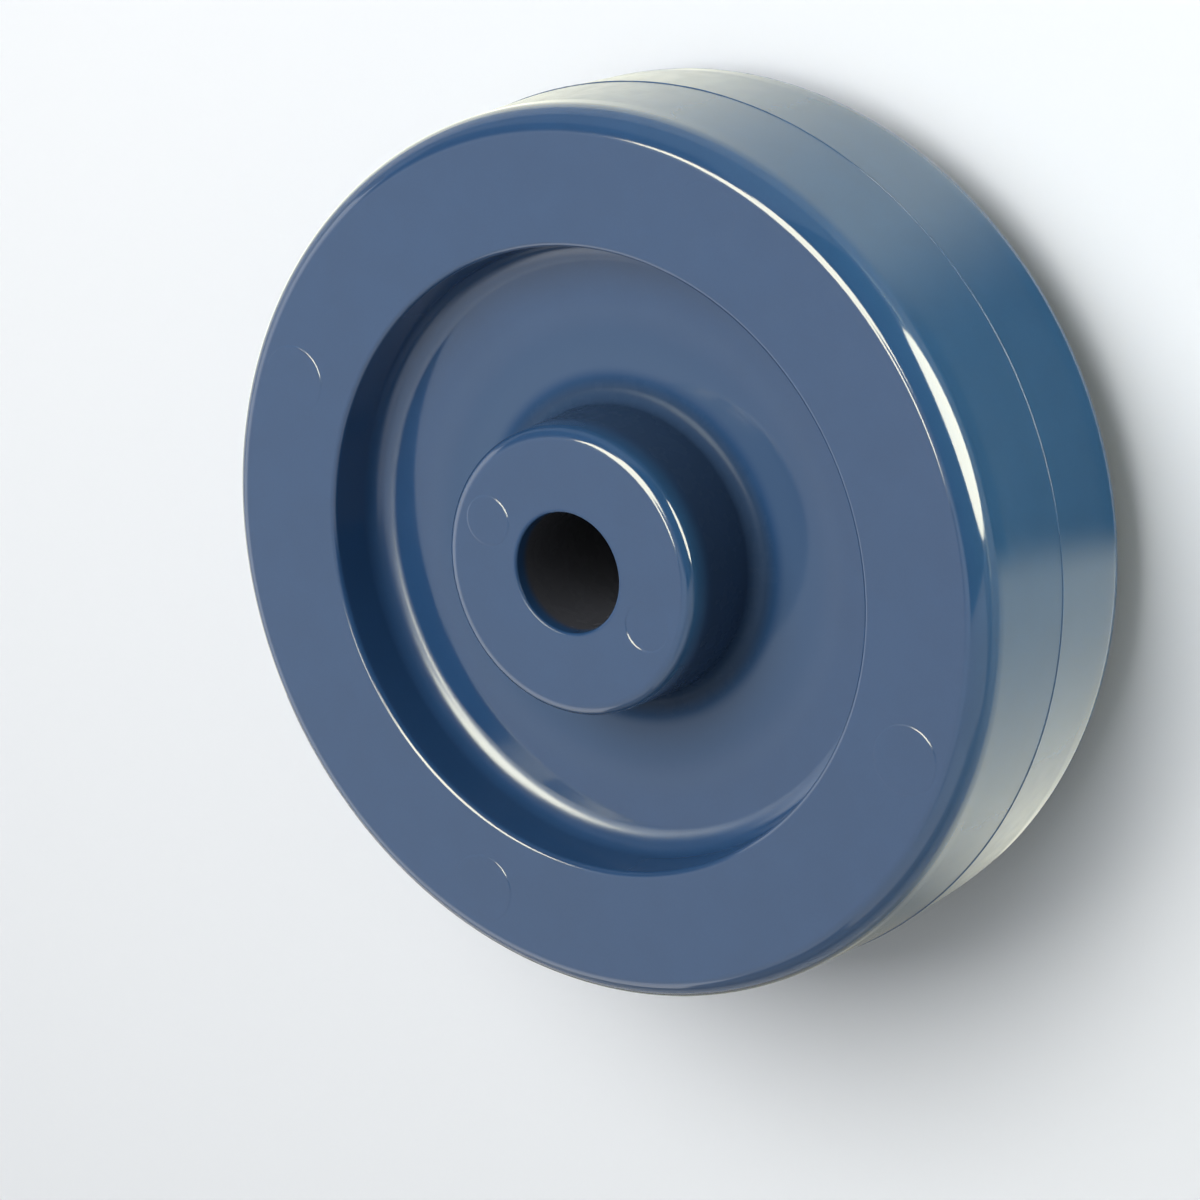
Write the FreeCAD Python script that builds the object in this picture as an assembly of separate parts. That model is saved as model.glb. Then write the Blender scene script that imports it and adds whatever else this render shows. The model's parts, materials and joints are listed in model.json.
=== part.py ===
import FreeCAD, Part
import math
import os

# A solid moulded polyurethane wheel, in millimetres. The axle runs along Z and the origin is the
# wheel's centre, so the two sides are mirror images about the plane z = 0.

# Tread, whose two halves lean in from the middle so that they leave the mould
TREAD_DIAMETER = 150.0
TREAD_WIDTH = 45.0
TREAD_DRAFT_DEG = 2.0

# Shoulder: an arc that meets the rim face at an edge and runs smoothly into the tread
SHOULDER_RADIUS = 6.5
SHOULDER_WIDTH = 3.2

# Flash left where the two halves of the mould met, round the middle of the tread
FLASH_WIDTH = 0.5
FLASH_HEIGHT = 0.15

# Hub, which stands proud of both sides of the rim
HUB_DIAMETER = 48.0
HUB_LENGTH = 58.0
HUB_DRAFT_DEG = 1.5
HUB_CHAMFER = 1.0
HUB_ROOT_CHAMFER = 2.4

# Plain bore for the axle
BORE_DIAMETER = 20.0
BORE_CHAMFER = 0.5

# Recess in each side, between the hub and the rim
RECESS_DIAMETER = 104.0
RECESS_DEPTH = 11.5
RECESS_DRAFT_DEG = 3.0
RECESS_CHAMFER = 0.6
RECESS_ROOT_CHAMFER = 2.4

SAME_PLACE = 0.001
AXIS = FreeCAD.Vector(0, 0, 1)
CENTRE = FreeCAD.Vector(0, 0, 0)


def rise(run, draft_deg):
    """How far a drafted wall leans over a given height."""
    return run * math.tan(math.radians(draft_deg))


rim_half = TREAD_WIDTH / 2
hub_half = HUB_LENGTH / 2
web_half = rim_half - RECESS_DEPTH
tread_radius = TREAD_DIAMETER / 2
rim_face_radius = tread_radius - rise(rim_half, TREAD_DRAFT_DEG) - SHOULDER_WIDTH
flash_half = FLASH_WIDTH / 2
flash_foot_radius = tread_radius - rise(flash_half, TREAD_DRAFT_DEG)
hub_end_radius = HUB_DIAMETER / 2
hub_root_radius = hub_end_radius + rise(hub_half - web_half, HUB_DRAFT_DEG)
bore_radius = BORE_DIAMETER / 2
recess_mouth_radius = RECESS_DIAMETER / 2
recess_floor_radius = recess_mouth_radius - rise(RECESS_DEPTH, RECESS_DRAFT_DEG)


def run_of(places):
    """Straight lines through places given as (radius, height)."""
    return Part.makePolygon([FreeCAD.Vector(radius, 0, height) for radius, height in places])


def shoulder_arc():
    """The arc from the edge of the rim face to where it touches the tread."""
    lean = math.radians(TREAD_DRAFT_DEG)
    along = FreeCAD.Vector(-math.sin(lean), 0, math.cos(lean))
    inward = FreeCAD.Vector(-math.cos(lean), 0, -math.sin(lean))
    start = FreeCAD.Vector(rim_face_radius, 0, rim_half)
    # The centre keeps the arc's radius from the tread's line and from the start, so it slides
    # along a line beside the tread until both hold
    foot = FreeCAD.Vector(tread_radius, 0, 0) + inward * SHOULDER_RADIUS
    offset = foot - start
    slide = offset.dot(along)
    climb = -slide - math.sqrt(slide**2 - offset.dot(offset) + SHOULDER_RADIUS**2)
    centre = foot + along * climb
    end = centre - inward * SHOULDER_RADIUS
    half_way = (start - centre) + (end - centre)
    middle = centre + half_way.normalize() * SHOULDER_RADIUS
    return Part.Arc(start, middle, end)


def ring_edges(solid, radius, height):
    """The circular edges of a radius at a height."""
    return [
        edge
        for edge in solid.Edges
        if isinstance(edge.Curve, Part.Circle)
        and abs(edge.Curve.Radius - radius) < SAME_PLACE
        and abs(edge.Curve.Center.z - height) < SAME_PLACE
    ]


def make_half():
    """The wheel from its middle plane up, turned about the axle line from its outline."""
    arc = shoulder_arc()
    side = run_of(
        [
            (bore_radius, 0),
            (bore_radius, hub_half),
            (hub_end_radius, hub_half),
            (hub_root_radius, web_half),
            (recess_floor_radius, web_half),
            (recess_mouth_radius, rim_half),
            (rim_face_radius, rim_half),
        ]
    )
    tread = run_of(
        [
            (arc.EndPoint.x, arc.EndPoint.z),
            (flash_foot_radius, flash_half),
            (tread_radius + FLASH_HEIGHT, 0),
            (bore_radius, 0),
        ]
    )
    outline = Part.Wire([side, arc.toShape(), tread])
    half = Part.Face(outline).revolve(CENTRE, AXIS, 360)
    for size, radius, height in (
        (HUB_CHAMFER, hub_end_radius, hub_half),
        (HUB_ROOT_CHAMFER, hub_root_radius, web_half),
        (BORE_CHAMFER, bore_radius, hub_half),
        (RECESS_CHAMFER, recess_mouth_radius, rim_half),
        (RECESS_ROOT_CHAMFER, recess_floor_radius, web_half),
    ):
        half = half.makeChamfer(size, ring_edges(half, radius, height))
    return half


def make_wheel():
    """Both halves as one moulding, with no seam left between them."""
    half = make_half()
    return half.fuse(half.mirror(CENTRE, AXIS)).removeSplitter()


os.makedirs("parts", exist_ok=True)
wheel = make_wheel()
wheel.exportStep("parts/wheel.step")
print("wheel", wheel.isValid(), "volume cm3", round(wheel.Volume / 1000, 1))
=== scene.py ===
import json
import math

import bmesh
import bpy
from mathutils import Matrix, Quaternion, Vector, geometry, noise


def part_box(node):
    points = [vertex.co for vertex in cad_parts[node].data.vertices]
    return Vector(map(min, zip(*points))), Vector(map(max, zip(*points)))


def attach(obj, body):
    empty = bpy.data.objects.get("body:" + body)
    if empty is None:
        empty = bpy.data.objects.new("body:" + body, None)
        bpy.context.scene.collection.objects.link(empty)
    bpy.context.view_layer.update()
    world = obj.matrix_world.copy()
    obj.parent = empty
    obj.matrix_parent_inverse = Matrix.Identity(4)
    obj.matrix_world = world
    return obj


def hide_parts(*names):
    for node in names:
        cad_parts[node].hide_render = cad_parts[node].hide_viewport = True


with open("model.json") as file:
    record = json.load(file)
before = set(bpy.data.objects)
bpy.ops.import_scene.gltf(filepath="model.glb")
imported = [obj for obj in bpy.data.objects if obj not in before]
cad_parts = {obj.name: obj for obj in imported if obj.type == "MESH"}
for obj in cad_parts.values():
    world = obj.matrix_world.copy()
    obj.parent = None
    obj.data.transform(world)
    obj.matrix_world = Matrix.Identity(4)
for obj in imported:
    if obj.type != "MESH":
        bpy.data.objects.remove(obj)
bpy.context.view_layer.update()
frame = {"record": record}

# Lengths are in millimetres and become metres as the meshes are made. The axle runs along Z and
# the wheel's centre is the origin.
MM = 0.001
wheel_low, wheel_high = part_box("wheel")
bore_mount = next(m for m in frame["record"]["mounts"] if m["kind"] == "bore")

# Flash round the middle of the tread. Its height, as a share of the full one, swings about the
# most and is cut off there, so it dips in places. Each swing has a size and a pace of its noise.
FLASH_HEIGHT = 0.15
FLASH_HALF = 0.25
FLASH_GUARD = 0.25
FLASH_LEAST = 0.1
FLASH_MOST = 0.85
FLASH_SWINGS = ((0.35, 14), (0.2, 60))
# The size and pace with which the crest wanders to either side, and where that noise starts
FLASH_WANDER = (0.05, 5)
WANDER_START = Vector((7, 0, 0))
# Shares of the way from the middle to either foot, and how steeply the crest falls to the feet
FLASH_SHARES = (1, 0.87, 0.5, 0, -0.5, -0.87, -1)
FLASH_FALL = 4

# Sizes that the frame gives
TREAD_RADIUS = wheel_high.x / MM - FLASH_HEIGHT
HUB_REACH = wheel_high.z / MM
BORE_RADIUS = bore_mount["dims"]["r_mm"]

# Rim and tread
RIM_HALF = 22.5
TREAD_DRAFT = 2.0
SHOULDER_RADIUS = 6.5
SHOULDER_SLOPE = 34.0
FACE_EDGE_RADIUS = 2.2

# Hub and bore. The hub's ends leave room in the wheel's box for the marks that stand proud.
MARK_ROOM = 0.08
HUB_HALF = HUB_REACH - MARK_ROOM
HUB_RADIUS = 24.0
HUB_DRAFT = 1.5
HUB_EDGE_RADIUS = 2.2
HUB_ROOT_RADIUS = 2.4
BORE_EDGE_RADIUS = 0.5

# Recess
RECESS_RADIUS = 52.0
RECESS_DEPTH = 11.5
RECESS_DRAFT = 3.0
RECESS_EDGE_RADIUS = 1.0
RECESS_ROOT_RADIUS = 4.0

# Round marks of the ejector pins, evenly spaced on a ring round the axle. Each pad has how far
# its middle stands proud, how much more it rises to one side, and the angle of that side.
RIM_MARKS = {
    "diameter": 11.5,
    "ring_radius": 64.0,
    "first_angle": 45.0,
    "pads": ((0.034, 0.040, -60), (0.034, 0.038, -80), (0.046, 0.014, -60), (-0.020, 0.016, 90)),
}
HUB_MARKS = {
    "diameter": 8.2,
    "ring_radius": 16.8,
    "first_angle": 43.0,
    "pads": ((0.056, 0.014, -60), (-0.040, 0.036, -60)),
}
MARK_EDGE = 0.4
# Across a mark's edge, from the face to the pad, with a guard ring beyond each end
MARK_SHARES = (-0.5, 0, 0.15, 0.35, 0.5, 0.65, 0.85, 1, 1.5)

# Mesh: steps round the wheel, how many of the flash's each of them has, and steps round a mark
RING_STEPS = 304
FLASH_STEPS = 4
MARK_STEPS = 96
# The most degrees in a step of a round, and the fewest steps in one
ARC_STEP = 5.0
ARC_LEAST_STEPS = 3
# How far inside its ends a straight stretch has a point, and the shortest stretch that has them
GUARD = 0.12
GUARD_ROOM = 3 * GUARD
# The least width of a flat face with pin marks
MARKED_WIDTH = 5.0
# Points closer than this are one, in the outline and in the triangles of a marked face
SAME_PLACE = 0.001
WELD = 1e-5

# Finish: colours, the blue and after it a painted sheen and painted shade
BLUE = (0.022, 0.067, 0.158)
# Painted sheen: a paler grey-blue on the web round the hub's root, standing in for a blurred
# reflection
PAINTED_SHEEN = (0.058, 0.106, 0.196)
# Painted shade: darker and greyer at the root of the hub, where the hub shades the web
ROOT_PAINTED_SHADE = (0.034, 0.066, 0.126)
# Painted shade: neutral grey deep in the bore, where little light reaches, in place of the blue
BORE_PAINTED_SHADE = (0.068, 0.07, 0.078)

# Finish: gloss
PLASTIC_IOR = 1.5
GLOSS_ROUGHNESS = 0.08
DULL_ROUGHNESS = 0.26
ROOT_ROUGHNESS = 0.235
GLOSS_SPECULAR = 0.5
DULL_SPECULAR = 0.04
# Specular level under the painted sheen
PAINTED_SHEEN_SPECULAR = 0.2

# Where the finish changes: radii, or heights from the middle plane, under the first of which a
# zone is whole and over the second of which there is none of it
HUB_ROOT_TOP = (22.0, 27.0)
# Reach of the painted shade round the hub's root
HUB_PAINTED_SHADE_REACH = (26.4, 29.0)
HUB_SATIN_REACH = (28.0, 30.6)
# Reach of the painted sheen on the web
PAINTED_SHEEN_REACH = (32.0, 43.0)
BORE_REACH = (10.1, 10.3)
BORE_DEEP = (25.5, 27.5)
BORE_EDGE_REACH = (10.4, 10.8)
WEB_REACH = (47.2, 48.2)
RECESS_ROOT_TOP = (14.0, 16.0)
# How much of the bore's dullness its edge has
BORE_EDGE_SHARE = 0.6

# Patterns in the finish: size, detail, the part of the noise that counts and what it becomes
CLOUD = (9.0, 4, (0.3, 0.7), (0.975, 1.025))
FLECK = (0.35, 2, (0.25, 0.75), (0.985, 1.015))
HAZE = (3.0, 5, (0.35, 0.75), (0, 0.035))
# Relief: size, detail and height
WAVES = (7.0, 1, 0.008)
GRAIN = (0.25, 3, 0.0006)

# Studio
FLOOR_REACH = 6000.0
FLOOR_COLOUR = (0.86, 0.88, 0.9)
FLOOR_ROUGHNESS = 0.9
WORLD_COLOUR = (0.97, 0.985, 1)
# Strength of the world: as it lights, and as it is mirrored. The camera sees it at 1.
AMBIENT = 0.3
GLOSSY_WORLD = 0.6
WHITE = (1, 1, 1)
WARM = (1.0, 0.95, 0.72)
ROSY = (1, 0.93, 0.85)
PALE_GREEN = (0.87, 0.92, 0.64)
KEY_POWER = 8.9
LOW_POWER = 1.5
ACROSS = (0, 1, 0)
OVAL_SIDES = 64

# Ring on the floor: inner and outer radius, how far it lies off the floor, and its glow in front
RING_REACH = (76.0, 150.0)
RING_LIFT = 0.2
RING_SIDES = 96
RING_GLOW = (1.0, 0.99, 0.8)
RING_FRONT = 0.05
# From one angle to another round the ring, by how much its glow changes
RING_TONES = (
    (10, 34, 1.25),
    (42, 80, 0.6),
    (-22, -30, 1.35),
    (-32, -60, 0.45),
    (-66, -92, -1.45),
)

# Camera, from a fit to the photograph
CAMERA_AIM = (-6.6, 11.1, 9.1)
CAMERA_DISTANCE = 855.0
CAMERA_AZIMUTH = 3.0
CAMERA_ELEVATION = 51.73
CAMERA_ROLL = -112.71
CAMERA_LENS = 155.5
CAMERA_SENSOR = 36.0


def add(name, data):
    """Puts a mesh, lamp or camera in the scene as an object."""
    piece = bpy.data.objects.new(name, data)
    bpy.context.scene.collection.objects.link(piece)
    return piece


def tilt(run, degrees):
    """How far a leaning wall moves over a run."""
    return run * math.tan(math.radians(degrees))


def rounded(corners):
    """Points (radius, height) along corners given as (radius, height, size of round).

    A straight stretch has one more point a little inside each end, which keeps its shading flat.
    """
    places = [Vector((r, z)) for r, z, _ in corners]
    points = [places[0]]
    end = None
    for before, here, after, (_, _, size) in zip(places, places[1:], places[2:], corners[1:]):
        back = (before - here).normalized()
        ahead = (after - here).normalized()
        turn = math.pi - back.angle(ahead)
        reach = size * math.tan(turn / 2)
        start = here + back * reach
        side = (back + ahead).normalized()
        centre = here + side * (size / math.cos(turn / 2))
        gap = (start - points[-1]).length
        if gap > GUARD_ROOM:
            if end is not None:
                points.append(end - back * GUARD)
            points.append(start + back * GUARD)
        spin = turn if (start - centre).cross(here - centre) > 0 else -turn
        steps = max(ARC_LEAST_STEPS, math.ceil(math.degrees(turn) / ARC_STEP))
        for step in range(1 if gap < SAME_PLACE else 0, steps + 1):
            arm = Matrix.Rotation(spin * step / steps, 2) @ (start - centre)
            points.append(centre + arm)
        end = here + ahead * reach
    points.append(end + ahead * GUARD)
    points.append(places[-1])
    return points


def side_corners():
    """The corners of one side, from the bore's middle to the foot of the flash."""
    web_half = RIM_HALF - RECESS_DEPTH
    hub_root = HUB_RADIUS + tilt(HUB_HALF - web_half, HUB_DRAFT)
    recess_floor = RECESS_RADIUS - tilt(RECESS_DEPTH, RECESS_DRAFT)
    # The rounds of the face's edge and of the shoulder share this slope and fill its length
    slope = math.radians(SHOULDER_SLOPE)
    turn = math.radians(90 - TREAD_DRAFT) - slope
    length = SHOULDER_RADIUS * math.tan(turn / 2) + FACE_EDGE_RADIUS * math.tan(slope / 2)
    shoulder_z = RIM_HALF - length * math.sin(slope)
    shoulder_r = TREAD_RADIUS - tilt(shoulder_z, TREAD_DRAFT)
    face_r = shoulder_r - length * math.cos(slope)
    return [
        (BORE_RADIUS, 0, 0),
        (BORE_RADIUS, HUB_HALF, BORE_EDGE_RADIUS),
        (HUB_RADIUS, HUB_HALF, HUB_EDGE_RADIUS),
        (hub_root, web_half, HUB_ROOT_RADIUS),
        (recess_floor, web_half, RECESS_ROOT_RADIUS),
        (RECESS_RADIUS, RIM_HALF, RECESS_EDGE_RADIUS),
        (face_r, RIM_HALF, FACE_EDGE_RADIUS),
        (shoulder_r, shoulder_z, SHOULDER_RADIUS),
        (TREAD_RADIUS - tilt(FLASH_HALF, TREAD_DRAFT), FLASH_HALF, 0),
    ]


def ring(mesh, radius, height, steps):
    """A ring of vertices about the axle line."""
    return [
        mesh.verts.new(
            (
                MM * radius * math.cos(math.tau * k / steps),
                MM * radius * math.sin(math.tau * k / steps),
                MM * height,
            )
        )
        for k in range(steps)
    ]


def band(mesh, inner, outer):
    """Faces between two rings of the same count, or one of which has a multiple of the other's."""
    few, many = sorted((inner, outer), key=len)
    share = len(many) // len(few)
    for k, a in enumerate(few):
        b = few[(k + 1) % len(few)]
        fine = [many[(k * share + j) % len(many)] for j in range(share + 1)]
        if share == 1:
            mesh.faces.new((a, b, fine[1], fine[0]))
            continue
        middle = share // 2
        for j in range(share):
            mesh.faces.new((a if j < middle else b, fine[j + 1], fine[j]))
        mesh.faces.new((a, b, fine[middle]))


def bands(mesh, rings):
    """Faces from each ring to the next."""
    for inner, outer in zip(rings, rings[1:]):
        band(mesh, inner, outer)


def mark_centres(marks):
    """The middles of the pin marks of a face, as (x, y)."""
    count = len(marks["pads"])
    angles = [math.radians(marks["first_angle"] + 360 * m / count) for m in range(count)]
    return [marks["ring_radius"] * Vector((math.cos(a), math.sin(a))) for a in angles]


def mark_radius(marks, share):
    """How far from its middle a pin mark's edge is, at a share of the way across the edge."""
    return marks["diameter"] / 2 + MARK_EDGE * (0.5 - share)


def pin_mark(mesh, face_z, up, marks, centre, pad):
    """A slightly tilted round pad with a soft edge. Returns the ring where it meets the face."""
    proud, lean, side = pad
    half = marks["diameter"] / 2
    rings = []
    for share in MARK_SHARES:
        radius = mark_radius(marks, share)
        eased = (1 - math.cos(math.pi * min(1, max(0, share)))) / 2
        loop = []
        for k in range(MARK_STEPS):
            angle = math.tau * k / MARK_STEPS
            spot = centre + radius * Vector((math.cos(angle), math.sin(angle)))
            level = proud + lean * math.cos(angle - math.radians(side)) * radius / half
            z = face_z + up * MM * level * eased
            loop.append(mesh.verts.new((MM * spot.x, MM * spot.y, z)))
        rings.append(loop)
    bands(mesh, rings)
    mesh.faces.new(rings[-1])
    return rings[0]


def marked_face(mesh, inner, outer, marks, up):
    """The flat face between two rings, with the round marks of the ejector pins."""
    face_z = inner[0].co.z
    centres = mark_centres(marks)
    loops = [outer, inner]
    for centre, pad in zip(centres, marks["pads"]):
        loops.append(pin_mark(mesh, face_z, up, marks, centre, pad))
    verts = [v for loop in loops for v in loop]
    edges = []
    start = 0
    for loop in loops:
        edges += [(start + k, start + (k + 1) % len(loop)) for k in range(len(loop))]
        start += len(loop)
    flat = [Vector((v.co.x, v.co.y)) / MM for v in verts]
    _, _, faces, _, _, _ = geometry.delaunay_2d_cdt(flat, edges, [], 0, WELD)
    hole = min(v.co.xy.length for v in inner) / MM
    rim = max(v.co.xy.length for v in outer) / MM
    clear = mark_radius(marks, MARK_SHARES[0])
    for face in faces:
        middle = sum((flat[k] for k in face), Vector((0, 0))) / len(face)
        off_marks = all((middle - centre).length > clear for centre in centres)
        if hole < middle.length < rim and off_marks:
            mesh.faces.new([verts[k] for k in face])


def marks_between(here, after):
    """The pin marks of the flat face between two points of the outline, or None."""
    if abs(here.y - after.y) > SAME_PLACE or after.x - here.x < MARKED_WIDTH:
        return None
    for height, marks in ((HUB_HALF, HUB_MARKS), (RIM_HALF, RIM_MARKS)):
        if abs(here.y - height) < SAME_PLACE:
            return marks
    return None


def make_side(mesh, outline, rings, up):
    """The surface of one side, from the bore's middle to where the tread nears the flash."""
    for here, after, inner, outer in zip(outline, outline[1:], rings, rings[1:]):
        marks = marks_between(here, after)
        if marks:
            marked_face(mesh, inner, outer, marks, up)
        else:
            band(mesh, inner, outer)


def flash_point(share, angle):
    """A point of the flash: share runs from 1 to -1 across it, and its height varies round it."""
    across = FLASH_HALF * share
    foot = TREAD_RADIUS - tilt(abs(across), TREAD_DRAFT)
    spot = Vector((math.cos(angle), math.sin(angle), 0))
    ragged = sum((size * noise.noise(spot * pace) for size, pace in FLASH_SWINGS), FLASH_MOST)
    height = FLASH_HEIGHT * min(FLASH_MOST, max(FLASH_LEAST, ragged))
    crest = 1 - max(0, 2 * abs(share) - 1) ** FLASH_FALL
    size, pace = FLASH_WANDER
    wander = size * noise.noise(spot * pace + WANDER_START)
    radius = foot + height * crest
    return Vector((MM * radius * spot.x, MM * radius * spot.y, MM * (across + wander * crest)))


def flash_rings(mesh):
    """The finer rings over the middle of the tread: the flash between two guards."""
    steps = RING_STEPS * FLASH_STEPS
    flash = [
        [mesh.verts.new(flash_point(share, math.tau * k / steps)) for k in range(steps)]
        for share in FLASH_SHARES
    ]
    height = FLASH_HALF + FLASH_GUARD
    radius = TREAD_RADIUS - tilt(height, TREAD_DRAFT)
    above, below = [ring(mesh, radius, up * height, steps) for up in (1, -1)]
    return [above, *flash, below]


def make_wheel():
    """The wheel's surface, turned about the axle line from the outline of one side."""
    mesh = bmesh.new()
    outline = rounded(side_corners())[:-1]
    top = [ring(mesh, p.x, p.y, RING_STEPS) for p in outline]
    bottom = [top[0]] + [ring(mesh, p.x, -p.y, RING_STEPS) for p in outline[1:]]
    make_side(mesh, outline, top, 1)
    make_side(mesh, outline, bottom, -1)
    middle = flash_rings(mesh)
    bands(mesh, [top[-1], *middle, bottom[-1]])
    bmesh.ops.recalc_face_normals(mesh, faces=mesh.faces)
    for face in mesh.faces:
        face.smooth = True
    # The flash meets the tread at a sharp line on either side
    for foot in (middle[1], middle[-2]):
        for a, b in zip(foot, foot[1:] + foot[:1]):
            mesh.edges.get((a, b)).smooth = False
    data = bpy.data.meshes.new("polyurethane_wheel")
    mesh.to_mesh(data)
    mesh.free()
    return add("polyurethane_wheel", data)


def node(tree, kind, **values):
    """A new node with some of its settings."""
    made = tree.nodes.new(kind)
    for key, value in values.items():
        setattr(made, key, value)
    return made


def math_node(tree, operation, *values):
    """A Math node whose inputs are numbers or other nodes' outputs."""
    made = node(tree, "ShaderNodeMath", operation=operation)
    for socket, value in zip(made.inputs, values):
        if isinstance(value, (int, float)):
            socket.default_value = value
        else:
            tree.links.new(value, socket)
    return made.outputs[0]


def graded(tree, value, limits, results):
    """A smooth change between two results as an input goes between two limits."""
    made = node(tree, "ShaderNodeMapRange", interpolation_type="SMOOTHSTEP")
    tree.links.new(value, made.inputs["Value"])
    names = ("From Min", "From Max", "To Min", "To Max")
    for name, number in zip(names, (*limits, *results)):
        made.inputs[name].default_value = number
    return made.outputs["Result"]


def mixed(tree, share, colour, other):
    """A colour turned into a fixed other one by a share."""
    made = node(tree, "ShaderNodeMix", data_type="RGBA")
    tree.links.new(share, made.inputs["Factor"])
    tree.links.new(colour, made.inputs["A"])
    made.inputs["B"].default_value = (*other, 1)
    return made.outputs["Result"]


def inside(tree, value, limits):
    """1 where a length is under the lower of two limits in millimetres, 0 above the upper."""
    return graded(tree, value, [limit * MM for limit in limits], (1, 0))


def outside(tree, value, limits):
    """0 where a length is under the lower of two limits in millimetres, 1 above the upper."""
    return math_node(tree, "SUBTRACT", 1, inside(tree, value, limits))


def axle_distance(tree, position):
    """Distance from the axle line, in metres."""
    flat = node(tree, "ShaderNodeVectorMath", operation="MULTIPLY")
    flat.inputs[1].default_value = (1, 1, 0)
    tree.links.new(position, flat.inputs[0])
    length = node(tree, "ShaderNodeVectorMath", operation="LENGTH")
    tree.links.new(flat.outputs[0], length.inputs[0])
    return length.outputs["Value"]


def noise_field(tree, coords, size, detail):
    """Noise of about 0 to 1 whose grain has a size in millimetres."""
    made = node(tree, "ShaderNodeTexNoise")
    made.inputs["Scale"].default_value = 1 / (size * MM)
    made.inputs["Detail"].default_value = detail
    tree.links.new(coords, made.inputs["Vector"])
    return made.outputs["Fac"]


def pattern(tree, coords, size, detail, limits, results):
    """Noise turned into a range of results."""
    return graded(tree, noise_field(tree, coords, size, detail), limits, results)


def finish_zones(tree, coords):
    """Masks of the finish: 1 where a zone is whole and 0 where there is none of it."""
    radius = axle_distance(tree, coords)
    split = node(tree, "ShaderNodeSeparateXYZ")
    tree.links.new(coords, split.inputs[0])
    height = math_node(tree, "ABSOLUTE", split.outputs["Z"])
    low = inside(tree, height, HUB_ROOT_TOP)
    satin_root = math_node(tree, "MULTIPLY", low, inside(tree, radius, HUB_SATIN_REACH))
    # Painted shade round the root of the hub
    painted_root_shade = math_node(tree, "MULTIPLY", low, inside(tree, radius, HUB_PAINTED_SHADE_REACH))
    # Painted sheen on the web just beyond the hub's root
    painted_sheen = math_node(tree, "MULTIPLY", low, inside(tree, radius, PAINTED_SHEEN_REACH))
    painted_sheen = math_node(tree, "MULTIPLY", painted_sheen, outside(tree, radius, HUB_SATIN_REACH))
    in_bore = inside(tree, radius, BORE_REACH)
    # Deep in the bore, where painted shade turns the colour grey
    deep_bore = math_node(tree, "MULTIPLY", in_bore, inside(tree, height, BORE_DEEP))
    bore_edge = inside(tree, radius, BORE_EDGE_REACH)
    bore_edge = math_node(tree, "MULTIPLY", bore_edge, BORE_EDGE_SHARE)
    bore = math_node(tree, "MAXIMUM", deep_bore, bore_edge)
    past_web = outside(tree, radius, WEB_REACH)
    recess_root = math_node(tree, "MULTIPLY", past_web, inside(tree, height, RECESS_ROOT_TOP))
    return {
        "satin": math_node(tree, "MAXIMUM", satin_root, bore),
        "painted_root_shade": painted_root_shade,
        "painted_sheen": painted_sheen,
        "deep_bore": deep_bore,
        "recess_root": recess_root,
    }


def pigment(tree, coords, zones):
    """Blue with a faint clouding; painted shade at the hub's root and deep in the bore, a painted
    sheen near the hub.
    """
    cloud = pattern(tree, coords, *CLOUD)
    fleck = pattern(tree, coords, *FLECK)
    tinted = node(tree, "ShaderNodeVectorMath", operation="SCALE")
    tinted.inputs[0].default_value = BLUE
    tree.links.new(math_node(tree, "MULTIPLY", cloud, fleck), tinted.inputs["Scale"])
    colour = tinted.outputs[0]
    # Painted shade at the hub's root and deep in the bore, and a painted sheen on the web round
    # the hub
    for zone, other in (("painted_sheen", PAINTED_SHEEN), ("painted_root_shade", ROOT_PAINTED_SHADE), ("deep_bore", BORE_PAINTED_SHADE)):
        colour = mixed(tree, zones[zone], colour, other)
    return colour


def roughness(tree, coords, zones):
    """A polished mould surface with a fine haze that comes and goes."""
    base = graded(tree, zones["satin"], (0, 1), (GLOSS_ROUGHNESS, DULL_ROUGHNESS))
    softer = graded(tree, zones["recess_root"], (0, 1), (0, ROOT_ROUGHNESS - GLOSS_ROUGHNESS))
    haze = pattern(tree, coords, *HAZE)
    return math_node(tree, "ADD", math_node(tree, "ADD", base, softer), haze)


def specular(tree, zones):
    """How strongly the surface mirrors: less where it is satin or has the painted sheen."""
    shine = graded(tree, zones["satin"], (0, 1), (GLOSS_SPECULAR, DULL_SPECULAR))
    less = graded(tree, zones["painted_sheen"], (0, 1), (0, GLOSS_SPECULAR - PAINTED_SHEEN_SPECULAR))
    return math_node(tree, "SUBTRACT", shine, less)


def relief(tree, coords):
    """Slow waves from shrinkage, and over them a grain a quarter of a millimetre across."""
    normal = None
    for size, detail, height in (WAVES, GRAIN):
        bump = node(tree, "ShaderNodeBump")
        bump.inputs["Distance"].default_value = height * MM
        tree.links.new(noise_field(tree, coords, size, detail), bump.inputs["Height"])
        if normal is not None:
            tree.links.new(normal, bump.inputs["Normal"])
        normal = bump.outputs["Normal"]
    return normal


def polyurethane():
    """Glossy blue moulded polyurethane.

    It is satin at the root of the hub and darker there with painted shade, paler on the web round
    that with a painted sheen, less polished in the root of the recess, and dull deep in the bore,
    where grey is painted shade.
    """
    material = bpy.data.materials.new("polyurethane")
    material.use_nodes = True
    tree = material.node_tree
    shader = tree.nodes["Principled BSDF"]
    shader.inputs["IOR"].default_value = PLASTIC_IOR
    coords = node(tree, "ShaderNodeTexCoord").outputs["Object"]
    zones = finish_zones(tree, coords)
    tree.links.new(pigment(tree, coords, zones), shader.inputs["Base Color"])
    tree.links.new(roughness(tree, coords, zones), shader.inputs["Roughness"])
    tree.links.new(specular(tree, zones), shader.inputs["Specular IOR Level"])
    tree.links.new(relief(tree, coords), shader.inputs["Normal"])
    return material


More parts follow.
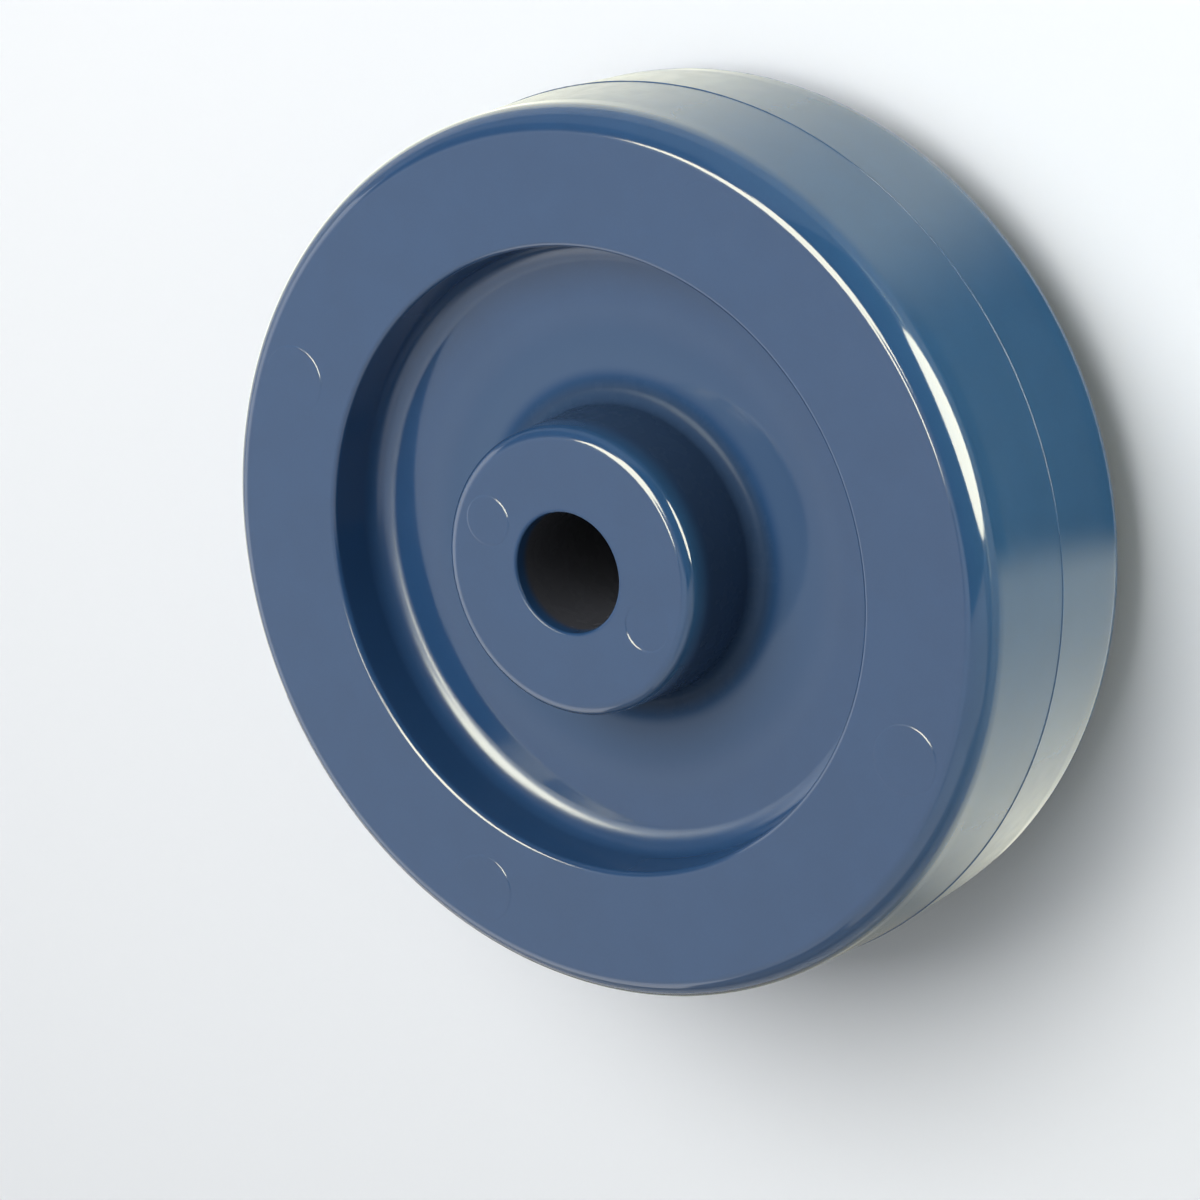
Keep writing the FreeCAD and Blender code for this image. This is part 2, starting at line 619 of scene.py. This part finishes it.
def studio_place(near, across, up):
    """A point or direction: towards the camera along the floor, across the view, and up."""
    turn = math.radians(CAMERA_AZIMUTH)
    return Vector(
        (
            near * math.sin(turn) + across * math.cos(turn),
            -near * math.cos(turn) + across * math.sin(turn),
            up,
        )
    )


def emitter(name, strength, colour):
    """A material that only glows."""
    material = bpy.data.materials.new(name)
    material.use_nodes = True
    tree = material.node_tree
    tree.nodes.clear()
    glow = node(tree, "ShaderNodeEmission")
    glow.inputs["Color"].default_value = (*colour, 1)
    glow.inputs["Strength"].default_value = strength
    out = node(tree, "ShaderNodeOutputMaterial")
    tree.links.new(glow.outputs[0], out.inputs["Surface"])
    return material


def only_reflected(piece):
    """Leaves a studio card to reflections alone."""
    piece.visible_camera = False
    piece.visible_diffuse = False
    piece.visible_shadow = False
    piece.visible_transmission = False
    piece.visible_volume_scatter = False


def card(name, middle, size, strength, colour=WHITE, along=ACROSS, oval=False):
    """A flat card facing the wheel, whose width runs along a direction as far as it can.

    An oval one has reflections that end in a taper.
    """
    middle = studio_place(*middle)
    normal = -middle.normalized()
    side = studio_place(*along)
    side = (side - normal * normal.dot(side)).normalized()
    rise = normal.cross(side)
    width, height = size
    sides = OVAL_SIDES if oval else 4
    # The corners of a rectangle lie further out than the middles of its sides
    reach = 0.5 if oval else math.sqrt(0.5)
    corners = []
    for k in range(sides):
        turn = math.tau * (k + 0.5) / sides
        corner = middle + side * (width * reach * math.cos(turn))
        corners.append(corner + rise * (height * reach * math.sin(turn)))
    data = bpy.data.meshes.new(name)
    data.from_pydata([c * MM for c in corners], [], [tuple(range(sides))])
    data.materials.append(emitter(name, strength, colour))
    only_reflected(add(name, data))


def ring_strength(tree):
    """The glow of the floor's ring by the angle round it, which is 0 towards the camera."""
    coords = node(tree, "ShaderNodeTexCoord").outputs["Object"]
    split = node(tree, "ShaderNodeSeparateXYZ")
    tree.links.new(coords, split.inputs[0])
    turn = math.radians(CAMERA_AZIMUTH)
    near = math_node(
        tree,
        "SUBTRACT",
        math_node(tree, "MULTIPLY", split.outputs["X"], math.sin(turn)),
        math_node(tree, "MULTIPLY", split.outputs["Y"], math.cos(turn)),
    )
    across = math_node(
        tree,
        "ADD",
        math_node(tree, "MULTIPLY", split.outputs["X"], math.cos(turn)),
        math_node(tree, "MULTIPLY", split.outputs["Y"], math.sin(turn)),
    )
    angle = math_node(tree, "ARCTAN2", across, near)
    strength = RING_FRONT
    for start, end, change in RING_TONES:
        limits = sorted((math.radians(start), math.radians(end)))
        results = (0, change) if end > start else (change, 0)
        strength = math_node(tree, "ADD", graded(tree, angle, limits, results), strength)
    return strength


def floor_reflector():
    """A ring on the floor that the tread mirrors: dark in front, bright to both sides."""
    points = []
    faces = []
    for k in range(RING_SIDES):
        angle = math.tau * k / RING_SIDES
        for r in RING_REACH:
            x = MM * r * math.cos(angle)
            y = MM * r * math.sin(angle)
            points.append((x, y, wheel_low.z + MM * RING_LIFT))
        following = 2 * ((k + 1) % RING_SIDES)
        faces.append((2 * k, 2 * k + 1, following + 1, following))
    data = bpy.data.meshes.new("floor_reflector")
    data.from_pydata(points, [], faces)
    material = emitter("floor_reflector", 1, RING_GLOW)
    tree = material.node_tree
    glow = next(n for n in tree.nodes if n.type == "EMISSION")
    tree.links.new(ring_strength(tree), glow.inputs["Strength"])
    data.materials.append(material)
    only_reflected(add("floor_reflector", data))


def lamp(name, middle, size, power, colour=WHITE):
    """A soft lamp that lights surfaces but isn't seen in them."""
    data = bpy.data.lights.new(name, "AREA")
    data.shape = "RECTANGLE"
    data.size = size[0] * MM
    data.size_y = size[1] * MM
    data.energy = power
    data.color = colour
    piece = add(name, data)
    piece.location = studio_place(*middle) * MM
    piece.rotation_mode = "QUATERNION"
    piece.rotation_quaternion = (-piece.location).to_track_quat("-Z", "Y")
    piece.visible_glossy = False
    piece.visible_camera = False


def make_floor():
    """A plain pale floor under the end of the hub."""
    far = MM * FLOOR_REACH
    low = wheel_low.z
    corners = [(-far, -far, low), (far, -far, low), (far, far, low), (-far, far, low)]
    data = bpy.data.meshes.new("floor")
    data.from_pydata(corners, [], [(0, 1, 2, 3)])
    material = bpy.data.materials.new("floor")
    material.use_nodes = True
    shader = material.node_tree.nodes["Principled BSDF"]
    shader.inputs["Base Color"].default_value = (*FLOOR_COLOUR, 1)
    shader.inputs["Roughness"].default_value = FLOOR_ROUGHNESS
    shader.inputs["Specular IOR Level"].default_value = 0
    data.materials.append(material)
    floor = add("floor", data)


def make_world():
    """White behind the floor, and a soft pale light from all round."""
    world = bpy.data.worlds.new("studio")
    bpy.context.scene.world = world
    world.use_nodes = True
    tree = world.node_tree
    back = tree.nodes["Background"]
    back.inputs["Color"].default_value = (*WORLD_COLOUR, 1)
    rays = node(tree, "ShaderNodeLightPath")
    seen = math_node(tree, "MULTIPLY", rays.outputs["Is Camera Ray"], 1 - AMBIENT)
    mirrored = math_node(tree, "MULTIPLY", rays.outputs["Is Glossy Ray"], GLOSSY_WORLD - AMBIENT)
    strength = math_node(tree, "ADD", math_node(tree, "ADD", seen, mirrored), AMBIENT)
    tree.links.new(strength, back.inputs["Strength"])


def make_camera():
    """The camera at the photograph's viewing angle."""
    elevation = math.radians(CAMERA_ELEVATION)
    back = studio_place(math.cos(elevation), 0, math.sin(elevation))
    data = bpy.data.cameras.new("camera")
    data.lens = CAMERA_LENS
    data.sensor_width = CAMERA_SENSOR
    camera = add("camera", data)
    middle = (Vector(CAMERA_AIM) + back * CAMERA_DISTANCE) * MM
    turn = back.to_track_quat("Z", "Y")
    roll = Quaternion(back, math.radians(CAMERA_ROLL))
    camera.matrix_world = Matrix.Translation(middle) @ (roll @ turn).to_matrix().to_4x4()
    bpy.context.scene.camera = camera


wheel = make_wheel()
wheel.data.materials.append(polyurethane())
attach(wheel, "root")
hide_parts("wheel")

make_floor()
make_world()
make_camera()

# Lamps and cards, each at a place of the studio. The bright cards give the highlights, the flags
# keep faces from going pale, and the others give the flat faces and walls their sheen.
lamp("key", (80, 400, 850), (700, 700), KEY_POWER)
lamp("low_front", (420, 0, -8), (500, 40), LOW_POWER, PALE_GREEN)
card("overhead", (-110, 500, 1640), (1560, 1100), 22, WARM, along=(3, 1.5, 0), oval=True)
card("top_flag", (0, 0, 1500), (470, 470), 0.6, oval=True)
card("front_panel", (225, -12, 22), (160, 100), 22, WARM, oval=True)
card("front_flag", (600, 60, 430), (1100, 860), 0.05)
card("side_flag", (-250, 760, 560), (560, 1000), 0.2)
card("far_wall", (-900, 0, 850), (1100, 1300), 1.5)
card("far_band", (-1025, 0, 522), (2000, 470), 2.6)
card("far_low", (-1200, 0, 170), (2200, 300), 2.1)
card("side_fill", (630, -790, 640), (1080, 1080), 1.2, ROSY)
card("side_low", (13, -1071, 518), (900, 600), 1.4, along=(1, 0, 0))
card("side_wall", (-270, -600, 980), (1475, 770), 1.5, along=(17, 8, 10))
floor_reflector()

bpy.context.scene.view_settings.view_transform = "Standard"
